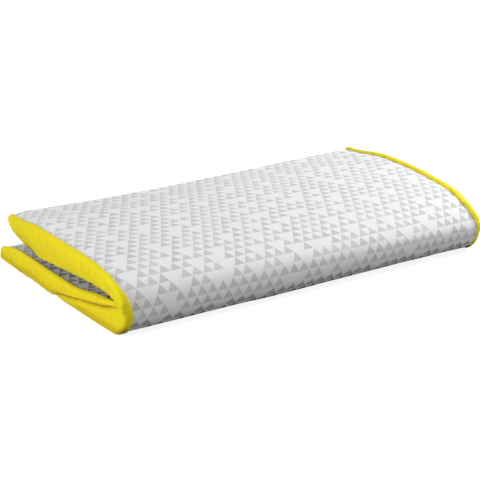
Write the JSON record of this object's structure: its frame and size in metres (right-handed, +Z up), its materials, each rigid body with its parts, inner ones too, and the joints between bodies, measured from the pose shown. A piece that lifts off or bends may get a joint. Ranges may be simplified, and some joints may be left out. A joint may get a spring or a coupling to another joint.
{
  "type": "ironing board cover",
  "caption": "Padded ironing board cover with a triangle print and an elasticated yellow hem, folded flat for storage; its front fold opens like a book.",
  "frame": {"origin": "on the floor, under the middle of the folded cover's box", "axes": "+X along the front fold, from the left hem to the right hem; +Y from the front fold to the far fold; +Z up, away from the floor"},
  "size_m": [0.45, 0.267, 0.0678],
  "materials": {
    "printed_cotton": "plain woven cotton, white with pale grey printed triangles, matt",
    "foam_padding": "open-cell foam sheet, cream, matt",
    "yellow_binding": "plain woven lemon yellow binding, slight sheen",
    "elastic_cord": "braided white elastic"
  },
  "bodies": {
    "lower_half": {"nose_cover": "printed_cotton", "nose_padding": "foam_padding", "nose_hem": "yellow_binding", "nose_hem_elastic": "elastic_cord", "tail_cover": "printed_cotton", "tail_padding": "foam_padding", "tail_hem": "yellow_binding", "tail_hem_elastic": "elastic_cord"},
    "upper_half": {"upper_cover": "printed_cotton", "upper_padding": "foam_padding", "upper_left_hem": "yellow_binding", "upper_left_hem_elastic": "elastic_cord", "upper_right_hem": "yellow_binding", "upper_right_hem_elastic": "elastic_cord"}
  },
  "joints": [
    {"name": "front_fold", "type": "hinge", "parent": "lower_half", "child": "upper_half", "pos_m": [0, -0.1338, 0.029], "axis": [1, 0, 0], "range_deg": [0, 173]}
  ]
}
